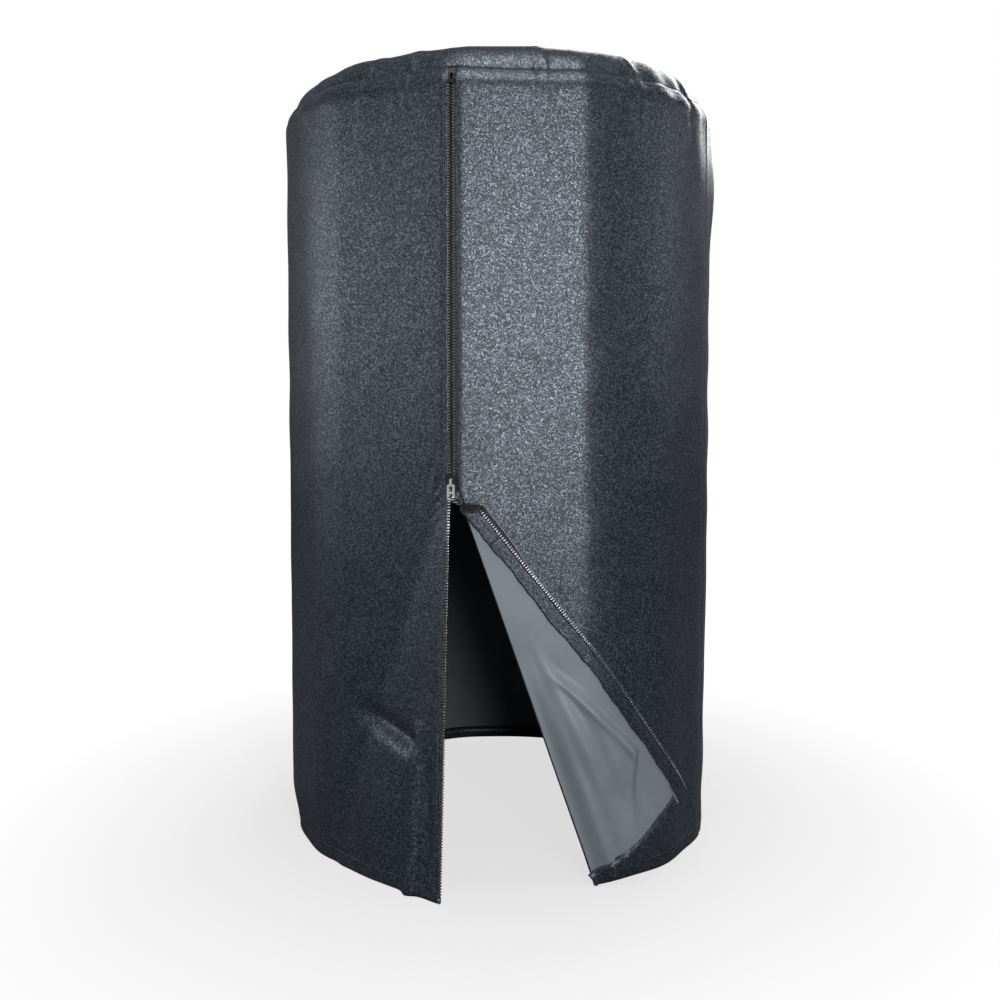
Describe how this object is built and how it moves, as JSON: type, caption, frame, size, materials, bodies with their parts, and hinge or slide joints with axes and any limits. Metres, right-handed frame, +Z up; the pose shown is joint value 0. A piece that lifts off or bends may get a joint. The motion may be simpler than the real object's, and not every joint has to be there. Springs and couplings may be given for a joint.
{
  "type": "spare tyre cover",
  "caption": "Tall round zip-up cover of coated cloth for a stack of spare tyres, open at the bottom, with its zip half undone and one lower flap folded back.",
  "frame": {"origin": "middle of the open bottom mouth, level with the hem", "axes": "+Z up the cover, -Y out of its front where the zip is, +X to the right as seen from the front"},
  "size_m": [0.7042, 0.7399, 1.1902],
  "materials": {
    "cover_cloth": "dark slate-grey coated oxford weave, paler coated inside",
    "zip_tape": "near-black woven tape",
    "zip_teeth": "dark gunmetal, bright on the crowns",
    "slider_metal": "bright nickel plate",
    "binding": "dark binding tape"
  },
  "bodies": {
    "cover": {"top_panel": "cover_cloth", "top_seam_binding": "binding", "back_panel": "cover_cloth", "back_hem": "cover_cloth", "left_front_panel": "cover_cloth", "right_front_panel": "cover_cloth", "left_hem": "cover_cloth", "right_hem": "cover_cloth", "left_side_seam": "binding", "right_side_seam": "binding", "left_zip_facing": "cover_cloth", "right_zip_facing": "cover_cloth", "left_tape_upper": "zip_tape", "right_tape_upper": "zip_tape", "left_teeth_upper": "zip_teeth", "right_teeth_upper": "zip_teeth", "top_stop": "zip_teeth"},
    "left_flap": {"left_flap_panel": "cover_cloth", "left_flap_facing": "cover_cloth", "left_flap_hem": "cover_cloth", "left_flap_tape": "zip_tape", "left_flap_teeth": "zip_teeth", "left_flap_end_stop": "zip_teeth"},
    "right_flap": {"right_flap_panel": "cover_cloth", "right_flap_facing": "cover_cloth", "right_flap_hem": "cover_cloth", "right_flap_tape": "zip_tape", "right_flap_teeth": "zip_teeth", "right_flap_end_stop": "zip_teeth"},
    "slider": {"slider_body": "slider_metal", "slider_bridge": "slider_metal"},
    "pull_tab": {"pull_tab": "slider_metal"}
  },
  "joints": [
    {"name": "left_flap_fold", "type": "hinge", "parent": "cover", "child": "left_flap", "pos_m": [-0.01397, -0.34782, 0.555], "axis": [-0.3107, 0.095, -0.9457], "range_deg": [-13, 163]},
    {"name": "right_flap_fold", "type": "hinge", "parent": "cover", "child": "right_flap", "pos_m": [0.01397, -0.34782, 0.555], "axis": [-0.3107, -0.095, 0.9457], "range_deg": [-176, 0]},
    {"name": "slider_slide", "type": "slide", "parent": "cover", "child": "slider", "axis": [0, 0, 1], "range_m": [0, 0.532]},
    {"name": "pull_tab_swing", "type": "hinge", "parent": "slider", "child": "pull_tab", "pos_m": [0, -0.34912, 0.5716], "axis": [-1, 0, 0], "range_deg": [0, 165]}
  ]
}
